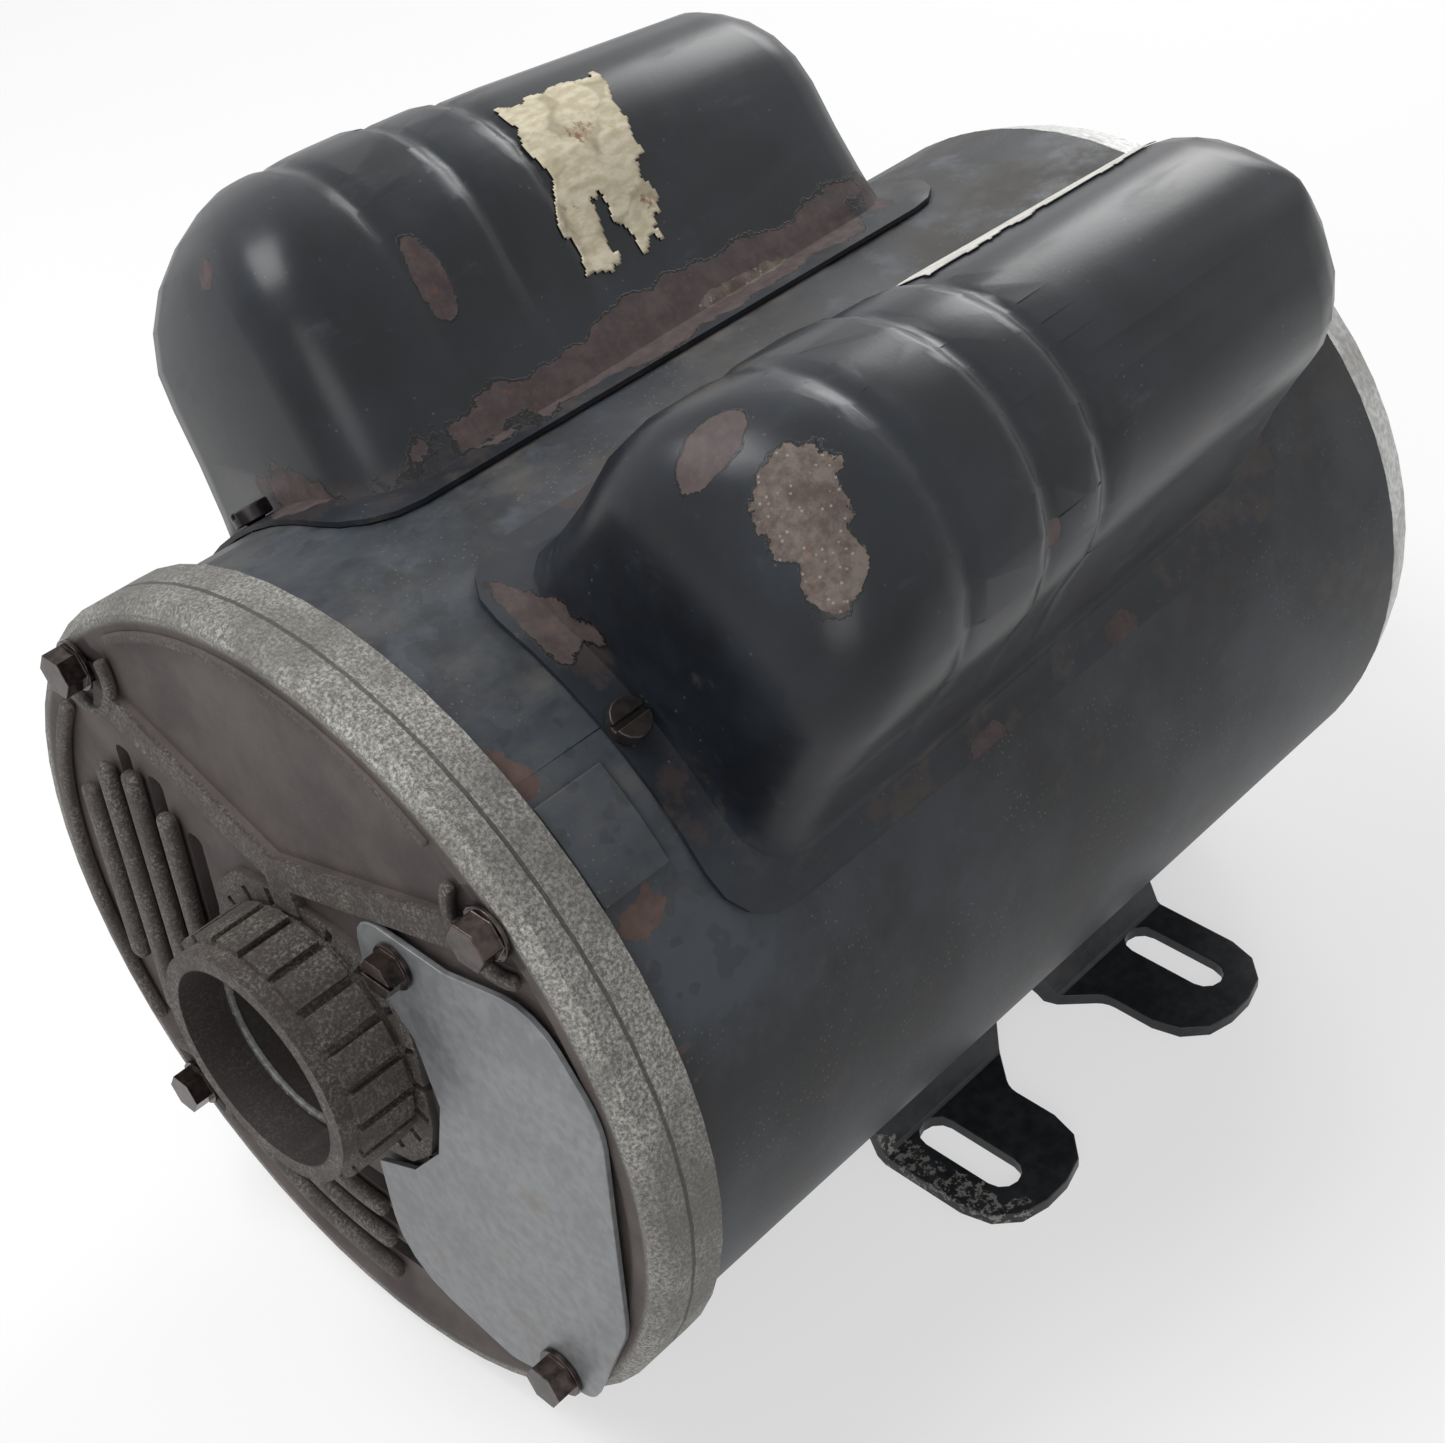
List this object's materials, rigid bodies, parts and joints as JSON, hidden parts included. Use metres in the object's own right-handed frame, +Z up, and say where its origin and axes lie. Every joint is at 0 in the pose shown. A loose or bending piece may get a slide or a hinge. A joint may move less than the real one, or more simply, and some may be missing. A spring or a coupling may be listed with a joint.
{
  "type": "electric motor",
  "caption": "Foot-mounted single-phase electric motor with a keyed shaft, cast end shields and humped capacitor covers on its cylindrical shell.",
  "frame": {"origin": "bottom centre of the bounding box: the feet rest on z = 0, below the shaft axis", "axes": "+X along the shaft towards the drive end, +Z up"},
  "size_m": [0.318, 0.1842, 0.2106],
  "materials": {
    "black_paint": "worn matte black paint",
    "cover_paint": "satin blue-black paint",
    "cast_aluminium": "dusty as-cast",
    "machined_aluminium": "bright cast and machined",
    "zinc_plate": "dull zinc",
    "oxidised_steel": "dark oxidised",
    "bright_steel": "ground",
    "lamination_steel": "stacked laminations",
    "enamelled_copper": "varnished enamelled wire",
    "phenolic": "moulded",
    "capacitor_can": "drawn can",
    "board": "phenolic board"
  },
  "bodies": {
    "motor_frame": {"shell": "black_paint", "base_cradle": "black_paint", "start_capacitor_cover": "cover_paint", "run_capacitor_cover": "cover_paint", "rear_end_shield": "cast_aluminium", "drive_end_shield": "machined_aluminium", "terminal_cover": "zinc_plate", "terminal_cover_screw": "oxidised_steel", "through_bolt_1": "oxidised_steel", "through_bolt_2": "oxidised_steel", "through_bolt_3": "oxidised_steel", "through_bolt_4": "oxidised_steel", "start_cover_screw": "oxidised_steel", "run_cover_screw": "oxidised_steel", "start_cover_rivet": "oxidised_steel", "run_cover_rivet": "oxidised_steel", "stationary_switch": "phenolic", "terminal_board": "board", "start_capacitor": "phenolic", "run_capacitor": "capacitor_can", "stator_core": "lamination_steel", "rear_winding": "enamelled_copper", "drive_winding": "enamelled_copper", "wave_washer": "bright_steel", "rear_bearing_outer_race": "bright_steel", "drive_bearing_outer_race": "bright_steel"},
    "rotor": {"shaft": "bright_steel", "shaft_key": "bright_steel", "rotor_core": "lamination_steel", "rotor_rear_end_ring": "machined_aluminium", "rotor_drive_end_ring": "machined_aluminium", "rear_bearing_inner_race": "bright_steel", "drive_bearing_inner_race": "bright_steel", "governor_hub": "oxidised_steel"},
    "governor_weight_1": {"governor_weight_1": "oxidised_steel"},
    "governor_weight_2": {"governor_weight_2": "oxidised_steel"},
    "governor_collar": {"governor_collar": "phenolic"},
    "rear_ball_set": {"rear_bearing_balls": "bright_steel"},
    "drive_ball_set": {"drive_bearing_balls": "bright_steel"}
  },
  "joints": [
    {"name": "rotor_spin", "type": "hinge", "parent": "motor_frame", "child": "rotor", "pos_m": [0, 0, 0.0889], "axis": [1, 0, 0], "continuous": true},
    {"name": "governor_weight_1_pivot", "type": "hinge", "parent": "rotor", "child": "governor_weight_1", "pos_m": [-0.08795, 0, 0.1109], "axis": [0, 1, 0], "range_deg": [0, 12], "stiffness_Nm_per_rad": 0.4},
    {"name": "governor_weight_2_pivot", "type": "hinge", "parent": "rotor", "child": "governor_weight_2", "pos_m": [-0.08795, 0, 0.0669], "axis": [0, -1, 0], "range_deg": [0, 12]},
    {"name": "governor_collar_slide", "type": "slide", "parent": "rotor", "child": "governor_collar", "axis": [1, 0, 0], "range_m": [0, 0.003]},
    {"name": "rear_cage_spin", "type": "hinge", "parent": "motor_frame", "child": "rear_ball_set", "pos_m": [0, 0, 0.0889], "axis": [1, 0, 0], "continuous": true},
    {"name": "drive_cage_spin", "type": "hinge", "parent": "motor_frame", "child": "drive_ball_set", "pos_m": [0, 0, 0.0889], "axis": [1, 0, 0], "continuous": true}
  ],
  "couplings": [
    {"joint": "governor_weight_2_pivot", "follows": "governor_weight_1_pivot", "ratio": 1},
    {"joint": "governor_collar_slide", "follows": "governor_weight_1_pivot", "m_per_rad": 0.0143},
    {"joint": "rear_cage_spin", "follows": "rotor_spin", "ratio": 0.3889},
    {"joint": "drive_cage_spin", "follows": "rotor_spin", "ratio": 0.3889}
  ]
}
